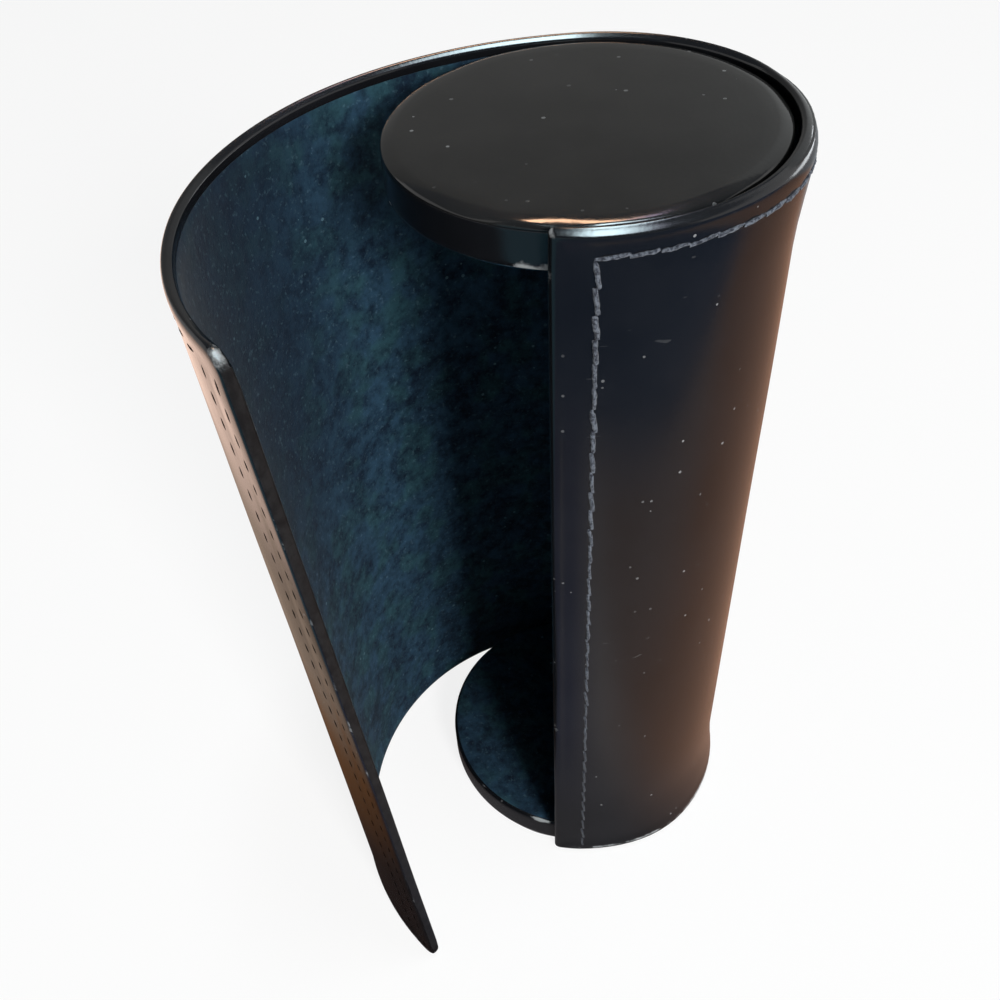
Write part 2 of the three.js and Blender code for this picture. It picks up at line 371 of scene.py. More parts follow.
def corner_path(edge, corner, level, upward):
    """Outline round one corner of a folded edge, from the level edge to the upright one."""
    away = math.copysign(1, edge)
    rise = 1 if upward else -1
    legs = np.linspace(0, 1, CORNER_LEGS)
    path = [(edge - away * BAND * (1 - f) - away * corner * f, level) for f in legs[:-1]]
    for a in np.linspace(0, math.pi / 2, CORNER_ARC):
        along = edge - away * corner * (1 - math.sin(a))
        path.append((along, level + rise * corner * (1 - math.cos(a))))
    return path + [(edge, level + rise * (corner + (BAND - corner) * f)) for f in legs[1:]]


def corner_run(edge, corner, level, upward, inner_point, start, end):
    """Stations round one corner, whose profile goes over from start to end."""
    path = corner_path(edge, corner, level, upward)
    run = []
    for point, share in zip(path, np.linspace(0, 1, len(path))):
        rub = max(math.sin(math.pi * share), UPRIGHT_WEAR * share)
        run.append((point, inner_point, start * (1 - share) + end * share, rub))
    return run


def edge_bands(cuts, heights, finished):
    """Runs of stations along the turned edges, and the stations whose edge is painted.

    A station is a point of the edge, the point that its band ends at, a profile and a rub. There
    is a run for the foot and one for the rim, or a single run where a folded edge joins them.
    """
    foot = [((u, SHEET_LOW), (u, heights[0]), FOOT, 0.0) for u in cuts]
    rim = [((u, SHEET_HIGH), (u, heights[-1]), rim_at(u), 0.0) for u in cuts]
    if not finished:
        return [foot, rim], ()
    edge, profile, corner = finished
    inner = cuts[-1]
    low = corner_run(edge, corner, SHEET_LOW, True, (inner, heights[0]), FOOT, profile)
    high = corner_run(edge, corner, SHEET_HIGH, False, (inner, heights[-1]), rim_at(inner), profile)
    gaps = np.minimum(heights - heights[0], heights[-1] - heights)
    side = [((edge, z), (inner, z), profile, SIDE_WEAR * math.exp(-gap / SIDE_WEAR_FADE))
            for z, gap in zip(heights[1:-1], gaps[1:-1])]
    run = foot[:-1] + low + side + high[::-1] + rim[-2::-1]
    first_painted = len(foot) - 1 + len(low) * 2 // 3
    return [run], range(first_painted, len(run) - first_painted - 1)


def leather_panel(name, material, cuts, finished=None):
    """Leather of one stretch of the sheet with its rim and foot turned in.

    finished is (edge, profile, corner) where the stretch ends in a folded edge.
    """
    heights = np.linspace(SHEET_LOW + BAND, SHEET_HIGH - BAND, PANEL_ROWS)
    bands, painted_rows = edge_bands(cuts, heights, finished)
    points, wear, faces = [], [], []
    for band in bands:
        first = len(points)
        for base, inner_point, profile, rub in band:
            share = profile[:, 0] / BAND
            along = base[0] + (inner_point[0] - base[0]) * share
            height = base[1] + (inner_point[1] - base[1]) * share
            points.extend(on_cover(along, height, profile[:, 1]))
            wear.extend(np.maximum(profile[:, 2], rub * CORNER_WEAR * (1 - share) ** 2))
        faces += grid_faces(len(band), len(RIM), first)
    painted = [row * (len(RIM) - 1) + key * KEY_STEPS + step for row in painted_rows
               for key in range(*PAINTED_KEYS) for step in range(KEY_STEPS)]
    along, height = np.meshgrid(cuts, heights, indexing="ij")
    for depth in (0.0, LEATHER):
        first = len(points)
        grid = on_cover(along, height, depth).reshape(-1, 3)
        points.extend(grid)
        wear.extend(np.zeros(len(grid)))
        faces += grid_faces(len(cuts), len(heights), first)
    return build_piece(name, points, faces, material, wear, (edge_paint, painted))


def lining_panel(name, material, cuts, over_edges=False):
    """Suede of one stretch of the sheet, between the turned-in edges, or lapped over them."""
    tuck_low = SHEET_LOW + TURN_IN + LINING_GAP
    tuck_high = SHEET_HIGH - TURN_IN - LINING_GAP
    if over_edges:
        low, high = SHEET_LOW + FOOT_SHOWN, SHEET_HIGH - RIM_SHOWN
        lap = ((LAP_LIFT, 0.0), (0.17, -0.05), (0.3, SOFT_EDGE), (0.34, 3 * SOFT_EDGE))
        foot = [(LINING_DEPTH, tuck_low), (SHEET + LAP_LIFT, tuck_low)]
        foot += [(SHEET + rise, low + step) for rise, step in lap]
        foot += [(SHEET + LAP_SWELL, tuck_low - SOFT_EDGE)]
        rim = [(SHEET + LAP_SWELL, tuck_high + SOFT_EDGE)]
        rim += [(SHEET + rise, high - step) for rise, step in lap[::-1]]
        rim += [(SHEET + LAP_LIFT, tuck_high), (LINING_DEPTH, tuck_high)]
    else:
        sunk, swollen = SHEET - TUCK_SINK, SHEET + TUCK_SWELL
        foot = [(LINING_DEPTH, tuck_low), (sunk, tuck_low), (swollen, tuck_low + SOFT_EDGE)]
        rim = [(swollen, tuck_high - SOFT_EDGE), (sunk, tuck_high), (LINING_DEPTH, tuck_high)]
    rows = np.linspace(tuck_low + 3 * SOFT_EDGE, tuck_high - 3 * SOFT_EDGE, SUEDE_ROWS)
    section = foot + [(SHEET + SUEDE_SWELL, z) for z in rows] + rim + foot[:1]
    depth, height = np.array(section).T
    points = np.concatenate([on_sheet(u, height, depth) for u in cuts])
    return build_piece(name, points, grid_faces(len(cuts), len(section)), material)


def turned_piece(name, material, profile, wobble, flip_at, wear):
    """Round piece turned about the tube's axis, most worn by the wall's front edge.

    flip_at turns it over for the top cap.
    """
    radius, height = np.array(profile).T
    angles = np.linspace(0, 2 * math.pi, CAP_SIDES + 1)
    points = []
    for angle in angles:
        grow, lift = wobble(angle, radius, height) if wobble else (0.0, 0.0)
        r, h = radius + grow, height + lift
        z = flip_at - h if flip_at is not None else h
        points.extend(np.stack([r * math.cos(angle), r * math.sin(angle), z], -1))
    rub = CAP_WEAR + RUBBED_MORE * np.exp(-((angles - RUBBED_ANGLE) / RUBBED_WIDTH) ** 2)
    shares = np.outer(rub, np.zeros(len(radius)) if wear is None else np.array(wear)).ravel()
    return build_piece(name, points, grid_faces(len(angles), len(radius)), material, shares)


def feed(tree, node, values):
    """Gives a node its inputs, as numbers or as sockets to link from."""
    for key, value in values.items():
        if isinstance(value, bpy.types.NodeSocket):
            tree.links.new(value, node.inputs[key])
        else:
            node.inputs[key].default_value = value


def add_node(tree, kind, values=None, **settings):
    node = tree.nodes.new(kind)
    for key, value in settings.items():
        setattr(node, key, value)
    feed(tree, node, values or {})
    return node


def result(tree, kind, values=None, **settings):
    """First output of a new node."""
    return add_node(tree, kind, values, **settings).outputs[0]


def math_node(tree, operation, a, b, clamp=False):
    return result(tree, "ShaderNodeMath", {0: a, 1: b}, operation=operation, use_clamp=clamp)


def times(tree, a, b):
    return math_node(tree, "MULTIPLY", a, b)


def weighted(tree, *parts, clamp=False):
    """Sum of values, each given with its weight."""
    total = times(tree, *parts[0])
    for value, weight in parts[1:]:
        total = math_node(tree, "ADD", total, times(tree, value, weight), clamp)
    return total


def ramp(tree, value, low, high):
    """Smooth share from 0 to 1 as value goes from low to high."""
    return result(tree, "ShaderNodeMapRange", {"Value": value, "From Min": low, "From Max": high},
                  interpolation_type="SMOOTHSTEP")


def noise(tree, place, scale, detail=2.0, roughness=0.5):
    values = {"Vector": place, "Scale": scale, "Detail": detail, "Roughness": roughness}
    return add_node(tree, "ShaderNodeTexNoise", values).outputs["Fac"]


def mix_colour(tree, share, a, b):
    node = add_node(tree, "ShaderNodeMix", {"Factor": share}, data_type="RGBA")
    for key, value in ((6, a), (7, b)):
        feed(tree, node, {key: (*value, 1.0) if isinstance(value, tuple) else value})
    return node.outputs[2]


def bumped(tree, height, strength, depth):
    values = {"Strength": strength, "Distance": depth * MM, "Height": height}
    return add_node(tree, "ShaderNodeBump", values).outputs["Normal"]


def own_place(tree):
    return add_node(tree, "ShaderNodeTexCoord").outputs["Object"]


def axes_of(tree, place):
    return add_node(tree, "ShaderNodeSeparateXYZ", {"Vector": place}).outputs


def new_group(name, results, **values):
    """Shader node group that takes a place and named numbers, and puts out named numbers."""
    tree = bpy.data.node_groups.new(name, "ShaderNodeTree")
    face = tree.interface
    face.new_socket("Vector", in_out="INPUT", socket_type="NodeSocketVector")
    for label, value in values.items():
        label = label.replace("_", " ").title()
        face.new_socket(label, in_out="INPUT", socket_type="NodeSocketFloat").default_value = value
    for label in results:
        face.new_socket(label, in_out="OUTPUT", socket_type="NodeSocketFloat")
    return tree, tree.nodes.new("NodeGroupInput").outputs, tree.nodes.new("NodeGroupOutput")


def make_speck_group():
    """Scattered dust specks and short scratches, as masks."""
    tree, given, end = new_group("dust_and_scratches", ("Specks", "Scratches"), speck_scale=700.0,
                                 speck_size=0.16, speck_share=0.05, scratch_scale=60.0)
    place = given["Vector"]
    values = {"Vector": place, "Scale": given["Speck Scale"]}
    cells = add_node(tree, "ShaderNodeTexVoronoi", values).outputs
    near = math_node(tree, "LESS_THAN", cells["Distance"], given["Speck Size"])
    pick = add_node(tree, "ShaderNodeSeparateColor", {"Color": cells["Color"]}).outputs["Red"]
    chosen = math_node(tree, "LESS_THAN", pick, given["Speck Share"])
    patches = ramp(tree, noise(tree, place, scale=45.0), 0.42, 0.62)
    values = {"Vector": place, "Rotation": (0.4, 0.9, 0.3), "Scale": (2.2, 14.0, 14.0)}
    drawn_out = result(tree, "ShaderNodeMapping", values)
    streaks = noise(tree, drawn_out, given["Scratch Scale"], detail=1.0)
    feed(tree, end, {"Specks": times(tree, times(tree, near, chosen), patches),
                     "Scratches": times(tree, ramp(tree, streaks, 0.75, 0.82), patches)})
    return tree


def make_grain_group():
    """Fine pebbled grain of leather, as a height, and its broad blotches."""
    tree, given, end = new_group("leather_grain", ("Height", "Blotches"), scale=1500.0)
    place = given["Vector"]
    values = {"Vector": place, "Scale": given["Scale"], "Smoothness": 0.6}
    pebbles = add_node(tree, "ShaderNodeTexVoronoi", values, feature="SMOOTH_F1")
    fine = noise(tree, place, scale=900.0, detail=4.0, roughness=0.6)
    feed(tree, end, {"Height": weighted(tree, (pebbles.outputs["Distance"], 0.6), (fine, 1.0)),
                     "Blotches": noise(tree, place, scale=55.0, detail=4.0, roughness=0.6)})
    return tree


def make_scuff_group():
    """Ragged rubbed patches where a piece's wear attribute is high, as a mask."""
    tree, given, end = new_group("rubbed_edges", ("Mask",), wear=0.0, scale=220.0)
    place = given["Vector"]
    coarse = noise(tree, place, given["Scale"], detail=5.0, roughness=0.65)
    wide = noise(tree, place, scale=38.0, detail=1.0)
    level = weighted(tree, (coarse, 0.6), (wide, 0.4), (given["Wear"], 0.42))
    feed(tree, end, {"Mask": ramp(tree, level, 0.78, 0.92)})
    return tree


SPECKS, GRAIN, SCUFFS = make_speck_group(), make_grain_group(), make_scuff_group()


def group_node(tree, group, values):
    return add_node(tree, "ShaderNodeGroup", values, node_tree=group).outputs


def new_material(name):
    material = bpy.data.materials.new(name)
    material.use_nodes = True
    return material, material.node_tree, material.node_tree.nodes["Principled BSDF"]


def make_leather(name, base, roughness, grain_depth, speck_size):
    """Glossy finely grained black leather with dust, scratches and rubbed edges."""
    material, tree, shader = new_material(name)
    place = own_place(tree)
    specks = group_node(tree, SPECKS, {"Vector": place, "Speck Size": speck_size})
    grain = group_node(tree, GRAIN, {"Vector": place})
    wear = add_node(tree, "ShaderNodeAttribute", attribute_name="wear").outputs["Fac"]
    scuffs = group_node(tree, SCUFFS, {"Vector": place, "Wear": wear})["Mask"]
    blotches = ramp(tree, grain["Blotches"], 0.3, 0.7)
    colour = mix_colour(tree, blotches, base, tuple(c * BLOTCH_LIGHTER for c in base))
    dust = weighted(tree, (specks["Specks"], 0.5), (specks["Scratches"], 0.08), clamp=True)
    colour = mix_colour(tree, dust, colour, DUST)
    colour = mix_colour(tree, times(tree, scuffs, 0.75), colour, SCUFFED)
    rough = times(tree, blotches, BLOTCH_ROUGHER)
    rough = math_node(tree, "ADD", rough, roughness - BLOTCH_ROUGHER / 2)
    rough = math_node(tree, "ADD", rough, times(tree, scuffs, 0.35), clamp=True)
    feed(tree, shader, {"Base Color": colour, "Roughness": rough, "IOR": LEATHER_IOR,
                        "Normal": bumped(tree, grain["Height"], strength=0.5, depth=grain_depth)})
    return material


def make_suede(name, dark, light, teal):
    """Matt napped suede: mottled, greener in places, darker towards the far left and higher up,
    with light lint.
    """
    material, tree, shader = new_material(name)
    place = own_place(tree)
    specks = group_node(tree, SPECKS, {"Vector": place, "Speck Scale": 360.0, "Speck Size": 0.13,
                                       "Speck Share": 0.3})["Specks"]
    broad = noise(tree, place, scale=70.0, detail=3.0, roughness=0.6)
    nap = noise(tree, place, scale=400.0, detail=6.0, roughness=0.75)
    cast = noise(tree, place, scale=130.0)
    tufts = noise(tree, place, scale=230.0, detail=4.0, roughness=0.65)
    mottling = weighted(tree, (broad, 0.17), (nap, 0.48), (tufts, 0.35))
    high = mix_colour(tree, ramp(tree, cast, 0.45, 0.62), light, teal)
    colour = mix_colour(tree, ramp(tree, mottling, 0.37, 0.62), dark, high)
    # The suede is darker towards the far left and higher up
    axes = axes_of(tree, place)
    darker_part = times(tree, ramp(tree, axes["X"], *DARKER_SUEDE_ACROSS),
                    ramp(tree, axes["Z"], *DARKER_SUEDE_UP))
    colour = mix_colour(tree, times(tree, darker_part, 0.8), colour, dark)
    flecks = noise(tree, place, scale=1100.0, detail=3.0, roughness=0.6)
    lint = weighted(tree, (specks, 0.4), (ramp(tree, flecks, 0.58, 0.72), 0.16), clamp=True)
    colour = mix_colour(tree, lint, colour, LINT)
    fibres = noise(tree, place, scale=2200.0, detail=3.0, roughness=0.7)
    height = weighted(tree, (nap, 0.7), (fibres, 0.3))
    feed(tree, shader, {"Base Color": colour, "Roughness": 0.95, "Specular IOR Level": 0.05,
                        "Sheen Weight": 0.03, "Sheen Roughness": 0.5,
                        "Normal": bumped(tree, height, strength=0.8, depth=0.3)})
    return material


def make_thread(name, dark, light, sheen):
    """Spun thread flecked with fuzz, with painted shade that darkens it towards the foot."""
    material, tree, shader = new_material(name)
    place = own_place(tree)
    # Painted shade: the thread's colour darkens towards the foot
    upward = ramp(tree, axes_of(tree, place)["Z"], *THREAD_SHADE_HEIGHTS)
    bright = mix_colour(tree, upward, tuple(c * THREAD_SHADED_SHARE for c in light), light)
    fuzz = noise(tree, place, scale=1900.0, detail=4.0, roughness=0.7)
    colour = mix_colour(tree, ramp(tree, fuzz, 0.40, 0.60), dark, bright)
    twist = noise(tree, place, scale=3500.0)
    feed(tree, shader, {"Base Color": colour, "Roughness": 0.8, "Specular IOR Level": 0.3 * sheen,
                        "Sheen Weight": sheen,
                        "Normal": bumped(tree, twist, strength=0.8, depth=0.1)})
    return material


def make_core(name, dark, light, scale, roughness):
    """Plain stuff, board, bonded magnet or edge paint, with a fibrous or grainy mottle."""
    material, tree, shader = new_material(name)
    mottle = noise(tree, own_place(tree), scale, detail=5.0, roughness=0.65)
    colour = mix_colour(tree, ramp(tree, mottle, 0.35, 0.65), dark, light)
    feed(tree, shader, {"Base Color": colour, "Roughness": roughness, "Specular IOR Level": 0.15,
                        "Normal": bumped(tree, mottle, strength=0.4, depth=0.1)})
    return material


wall_leather = make_leather("black_leather", (0.0042, 0.0045, 0.0055), roughness=0.17,
                            grain_depth=0.02, speck_size=0.18)
cap_leather = make_leather("black_cap_leather", (0.0075, 0.0075, 0.0075), roughness=0.13,
                           grain_depth=0.02, speck_size=0.24)
suede = make_suede("blue_suede", dark=(0.0042, 0.0092, 0.0185), light=(0.0175, 0.045, 0.077),
                   teal=(0.018, 0.052, 0.068))
thread = make_thread("grey_thread", dark=(0.018, 0.020, 0.029), light=(0.112, 0.126, 0.152),
                     sheen=0.15)
# Painted shade: a darker copy of the grey thread, for the flap's stitches, which stand in shadow
shaded_thread = make_thread("shaded_thread", dark=(0.002, 0.002, 0.002), light=(0.006, 0.005, 0.005),
                          sheen=0.0)
edge_paint = make_core("edge_paint", dark=(0.006, 0.005, 0.005), light=(0.013, 0.012, 0.012),
                       scale=600.0, roughness=0.55)
greyboard = make_core("grey_board", dark=(0.17, 0.14, 0.10), light=(0.26, 0.22, 0.16),
                      scale=500.0, roughness=0.9)
magnet_strip = make_core("magnet_strip", dark=(0.02, 0.02, 0.02), light=(0.05, 0.048, 0.046),
                         scale=900.0, roughness=0.6)


def finish(piece, slot, *nodes):
    if nodes:
        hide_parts(*nodes)
    return piece


def bend_between(piece, number):
    """The piece crosses the hinge between body number and the next; its transform is baked into its
    mesh.
    """
    joint = frame["joints"][number]
    pivot, axis = Vector(joint["pos_m"]), Vector(joint["axis"]).normalized()
    middles = np.array([number - 0.5, number + 0.5]) * SEGMENT
    ends = on_sheet(middles, CASE_HEIGHT / 2, 0.0) * MM
    across = Vector(ends[1]) - Vector(ends[0])
    across -= across.dot(axis) * axis
    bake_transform(piece)


def point_value(tree, name, kind):
    return result(tree, "GeometryNodeInputNamedAttribute", {"Name": name}, data_type=kind)


def combined(tree, **axes):
    return result(tree, "ShaderNodeCombineXYZ", axes)


def vector_node(tree, operation, values):
    return result(tree, "ShaderNodeVectorMath", values, operation=operation)


def stitch_tree():
    """Geometry Nodes: one arched thread stitch on every point, turned by the point's own axes."""
    tree = bpy.data.node_groups.new("stitch_row", "GeometryNodeTree")
    face = tree.interface
    face.new_socket("Geometry", in_out="OUTPUT", socket_type="NodeSocketGeometry")
    face.new_socket("Points", in_out="INPUT", socket_type="NodeSocketGeometry")
    sizes = {"Length": STITCH_LENGTH * MM, "Arch": STITCH_ARCH * MM, "Sink": STITCH_SINK * MM,
             "Thread Radius": THREAD_RADIUS * MM, "Lean": STITCH_LEAN, "Slant": STITCH_SLANT,
             "Fray": FRAY * MM}
    for label, value in sizes.items():
        face.new_socket(label, in_out="INPUT", socket_type="NodeSocketFloat").default_value = value
    face.new_socket("Seed", in_out="INPUT", socket_type="NodeSocketInt")
    face.new_socket("Material", in_out="INPUT", socket_type="NodeSocketMaterial")
    given, end = tree.nodes.new("NodeGroupInput").outputs, tree.nodes.new("NodeGroupOutput")

    half = times(tree, given["Length"], 0.5)
    sunk = times(tree, given["Sink"], -1.0)
    path = result(tree, "GeometryNodeCurveQuadraticBezier", {
        "Resolution": STITCH_STEPS,
        "Start": combined(tree, X=times(tree, half, -1.0), Z=sunk),
        "Middle": combined(tree, Z=times(tree, given["Arch"], 2.0)),
        "End": combined(tree, X=half, Z=sunk)})
    ring = result(tree, "GeometryNodeCurvePrimitiveCircle", {
        "Resolution": THREAD_SIDES, "Radius": given["Thread Radius"]})
    body = result(tree, "GeometryNodeCurveToMesh", {
        "Curve": path, "Profile Curve": ring, "Fill Caps": True})

    axes = result(tree, "FunctionNodeAxesToRotation", {
        "Primary Axis": point_value(tree, "outward", "FLOAT_VECTOR"),
        "Secondary Axis": point_value(tree, "run", "FLOAT_VECTOR"),
    }, primary_axis="Z", secondary_axis="X")
    least = math_node(tree, "SUBTRACT", given["Lean"], given["Slant"])
    most = math_node(tree, "ADD", given["Lean"], given["Slant"])
    slant = add_node(tree, "FunctionNodeRandomValue", {2: least, 3: most, "Seed": given["Seed"]},
                     data_type="FLOAT").outputs[1]
    tilt = result(tree, "FunctionNodeAxisAngleToRotation", {"Angle": slant})
    turn = result(tree, "FunctionNodeRotateRotation", {"Rotation": axes, "Rotate By": tilt},
                  rotation_space="LOCAL")
    stretch = result(tree, "FunctionNodeRandomValue", {
        "Min": STITCH_SCALES[0], "Max": STITCH_SCALES[1], "Seed": given["Seed"],
    }, data_type="FLOAT_VECTOR")
    bulk = point_value(tree, "bulk", "FLOAT")
    scale = vector_node(tree, "MULTIPLY", {0: stretch, 1: combined(tree, X=1.0, Y=bulk, Z=bulk)})
    placed = result(tree, "GeometryNodeInstanceOnPoints", {
        "Points": given["Points"], "Instance": body, "Rotation": turn, "Scale": scale})
    real = result(tree, "GeometryNodeRealizeInstances", {"Geometry": placed})

    fuzz = add_node(tree, "ShaderNodeTexNoise", {"Scale": FRAY_SCALE, "Detail": 2.0})
    centred = vector_node(tree, "SUBTRACT", {0: fuzz.outputs["Color"], 1: (0.5, 0.5, 0.5)})
    shift = vector_node(tree, "SCALE", {0: centred, "Scale": given["Fray"]})
    frayed = result(tree, "GeometryNodeSetPosition", {"Geometry": real, "Offset": shift})
    smooth = result(tree, "GeometryNodeSetShadeSmooth", {"Geometry": frayed})
    dressed = result(tree, "GeometryNodeSetMaterial", {
        "Geometry": smooth, "Material": given["Material"]})
    tree.links.new(dressed, end.inputs[0])
    return tree


STITCHES = stitch_tree()
FINE_STITCH = {"Length": EDGE_STITCH_LENGTH * MM, "Thread Radius": EDGE_THREAD_RADIUS * MM,
               "Arch": EDGE_STITCH_ARCH * MM, "Fray": 0.0, "Material": shaded_thread}


def front_bulk(along, height):
    """Stitches up the wall's front edge are fuller towards the rim."""
    return LEAST_FULL + FULLER * smooth_step(height, *FULLER_HEIGHTS)


def rim_bulk(along, height):
    """Stitches under the rim sink into the leather from its stretched side on."""
    return 1.0 - BURIED * smooth_step(along, *BURIED_PLACES)


def even_bulk(along, height):
    return 1.0


def stitch_row(name, places, seed, settings=None, bulk=even_bulk):
    """Stitches at places, each an along, height, depth and whether it runs up the sheet.

    bulk is a function of along and height that makes some stitches fuller than others.
    """
    points, runs, outs = [], [], []
    for along, height, depth, upright in places:
        here = on_cover(along, height, depth)
        up = on_cover(along, height + PROBE, depth) - here
        onward = on_cover(along + PROBE, height, depth) - on_cover(along - PROBE, height, depth)
        points.append(here * MM)
        runs.append(up if upright else onward)
        outs.append(on_sheet(along, height, depth - 1.0) - on_sheet(along, height, depth))
    mesh = bpy.data.meshes.new(name)
    mesh.from_pydata([tuple(p) for p in points], [], [])
    for label, values in (("run", runs), ("outward", outs)):
        layer = mesh.attributes.new(label, "FLOAT_VECTOR", "POINT")
        layer.data.foreach_set("vector", np.ravel(values))
    shares = [bulk(along, height) for along, height, _, _ in places]
    mesh.attributes.new("bulk", "FLOAT", "POINT").data.foreach_set("value", shares)
    carrier = add_object(name + "_points", mesh)
    modifier = carrier.modifiers.new("stitches", "NODES")
    modifier.node_group = STITCHES
    sockets = STITCHES.interface.items_tree
    ids = {item.name: item.identifier for item in sockets if item.in_out == "INPUT"}
    for label, value in {"Seed": seed, "Material": thread, **(settings or {})}.items():
        modifier[ids[label]] = value
    evaluated = carrier.evaluated_get(bpy.context.evaluated_depsgraph_get())
    stitched = bpy.data.meshes.new_from_object(evaluated)
    bpy.data.objects.remove(carrier)
    return finish(add_object(name, stitched), "leather")


def make_wall():
    """Leather, suede and stitching of the fixed wall."""
    root = -SEGMENT / 2
    cuts = stations(root, WALL_FRONT + BAND, WALL_STEP)
    cover = leather_panel("wall_cover", wall_leather, cuts, (WALL_FRONT, FRONT, WALL_CORNER))
    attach(finish(cover, "leather", "wall_leather", "wall_edge"), "case_body")
    inner = stations(root, WALL_FRONT + TURN_IN + LINING_GAP, WALL_STEP)
    lining = lining_panel("wall_suede", suede, inner)
    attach(finish(lining, "suede", "wall_lining"), "case_body")
    heights = np.arange(WALL_ROW_FOOT, RIM_ROW - ROW_GAP, STITCH_PITCH)
    row = [(WALL_ROW, z, 0.0, True) for z in heights]
    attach(stitch_row("wall_front_stitches", row, FRONT_SEED, bulk=front_bulk), "case_body")
    places = np.arange(WALL_ROW + ROW_GAP, root - ROW_GAP, STITCH_PITCH)
    row = [(u, RIM_ROW, 0.0, False) for u in places]
    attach(stitch_row("wall_rim_stitches", row, RIM_SEED, bulk=rim_bulk), "case_body")


def make_flap():
    """Strips that meet in the middle of each stiff segment, each across one hinge."""
    for number in range(FLAP_SEGMENTS):
        label = number + 1
        first, last = (number - 0.5) * SEGMENT, (number + 0.5) * SEGMENT
        cuts = stations(first, last, FLAP_STEP)
        cover = leather_panel(f"flap_cover_{label}", wall_leather, cuts)
        bend_between(finish(cover, "leather", f"flap_leather_{label}"), number)
        lining = lining_panel(f"flap_suede_{label}", suede, cuts, over_edges=number > 0)
        bend_between(finish(lining, "suede", f"flap_lining_{label}"), number)
        row = [(first + (n + 0.5) * SEGMENT / STITCHES_PER_SEGMENT, RIM_ROW, 0.0, False)
               for n in range(STITCHES_PER_SEGMENT)]
        seed = FLAP_RIM_SEED + number
        bend_between(stitch_row(f"flap_rim_stitches_{label}", row, seed, FINE_STITCH), number)
    tip = f"flap_{FLAP_SEGMENTS}"
    last_cut = FLAP_LENGTH - SEGMENT / 2
    cuts = stations(last_cut, FLAP_LENGTH - BAND, FLAP_STEP)
    folded = (FLAP_LENGTH, FREE_EDGE, FLAP_CORNER)
    edge = leather_panel("flap_free_edge", wall_leather, cuts, folded)
    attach(finish(edge, "leather", "flap_edge"), tip)
    inner = stations(last_cut, FLAP_LENGTH - TURN_IN - LINING_GAP, FLAP_STEP)
    lining = lining_panel("flap_end_suede", suede, inner, over_edges=True)
    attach(finish(lining, "suede"), tip)
    heights = np.arange(FREE_EDGE_ROW_FOOT, RIM_ROW - FREE_EDGE_ROW_GAP, STITCH_PITCH)
    for index, (inset, depth) in enumerate(FREE_EDGE_ROWS):
        row = [(FLAP_LENGTH - inset, z, depth, True) for z in heights]
        seed = FREE_EDGE_SEED + index
        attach(stitch_row(f"flap_edge_stitches_{index + 1}", row, seed, FINE_STITCH), tip)


def cap_wobble(angle, radius, height):
    """Uneven edge of the cap's leather where it is drawn over the core, most at the front."""
    share = np.clip((radius - CAP_RADIUS + CAP_LOOSE) / CAP_LOOSE, 0, 1) ** 2
    wave = sum(size * math.sin(count * angle + phase) for size, count, phase in CAP_WAVES)
    shown = WAVES_ROUND + WAVES_IN_FRONT * math.exp(-((angle - FRONT_ANGLE) / WAVES_WIDTH) ** 2)
    lift = shown * wave * share * (height < CAP_LOOSE_DEPTH)
    return -CAP_DRAWN_IN * abs(wave) * share, lift


def make_cap(prefix, flip_at):
    """Leather face, side band and suede lining of one end cap, outer face first.

    The profiles are radius and height. Those of the leather go with a wear for each point.
    """
    r, t = CAP_RADIUS, CAP_THICKNESS
    face = [(f * (r - 2.4), 0.06 * (f ** 4)) for f in np.linspace(0, 1, DOME_RINGS)]
    face += [(r - 1.9, 0.12), (r - 1.3, 0.26), (r - 0.75, 0.43), (r - 0.38, 0.58),
             (r - 0.15, 0.76), (r - 0.04, 1.0), (r - 0.02, CAP_FACE), (r - 0.4, CAP_FACE),
             (0.0, CAP_FACE)]
    face_wear = [0.0] * DOME_RINGS + [0.0, 0.05, 0.1, 0.2, 0.3, 0.3, 0.1, 0.0, 0.0]

    base = CAP_FACE + 0.08
    inner = r - CAP_BORDER
    floor = t - CAP_LINING
    band = [(r - 0.6, base), (r - 0.05, base), (r, base + 0.12)]
    band += [(r, z) for z in np.linspace(base + 0.6, t - 1.0, 6)]
    band += [(r - 0.08, t - 0.42), (r - 0.3, t - 0.15), (r - 0.62, t - 0.03), (r - 1.0, t),
             (r - 2.0, t + 0.02), (inner + 0.3, t), (inner, t - 0.12), (inner, floor),
             (r - 0.6, floor), (r - 0.6, base)]
    band_wear = [0.0, 0.2, 0.3, 0.1, 0.1, 0.15, 0.25, 0.4, 0.55, 0.7, 0.8, 0.5, 0.2] + [0.0] * 6

    pile, lap = inner - LINING_GAP, r - CAP_SHOWN
    lining = [(0.0, floor), (pile, floor), (pile, t + 0.03), (lap, t + 0.03), (lap + 0.05, t + 0.2),
              (lap - 0.2, t + 0.32), (lap - 0.7, t + 0.37)]
    lining += [(f * pile, t + 0.37) for f in np.linspace(1, 0, 12)]

    pieces = (
        ("face_leather", cap_leather, face, cap_wobble, face_wear, "leather", "face"),
        ("side_leather", wall_leather, band, None, band_wear, "leather", "band"),
        ("suede", suede, lining, None, None, "suede", "lining"),
    )
    for label, material, profile, wobble, wear, slot, node in pieces:
        piece = turned_piece(f"{prefix}_{label}", material, profile, wobble, flip_at, wear)
        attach(finish(piece, slot, f"{prefix}_{node}"), "case_body")


def dress_inner_nodes():
    """Boards, cap cores and magnets stay as the part has them, with their own finish."""
    for name, node in frame["nodes"].items():
        if "magnet" in name:
            dress = magnet_strip
        elif "board" in name or "core" in name:
            dress = greyboard
        else:
            continue
        node.data.materials.clear()
        node.data.materials.append(dress)


def level_corners(across, along, height):
    (left, right), (near, far) = across, along
    return [(left, near, height), (right, near, height), (right, far, height), (left, far, height)]


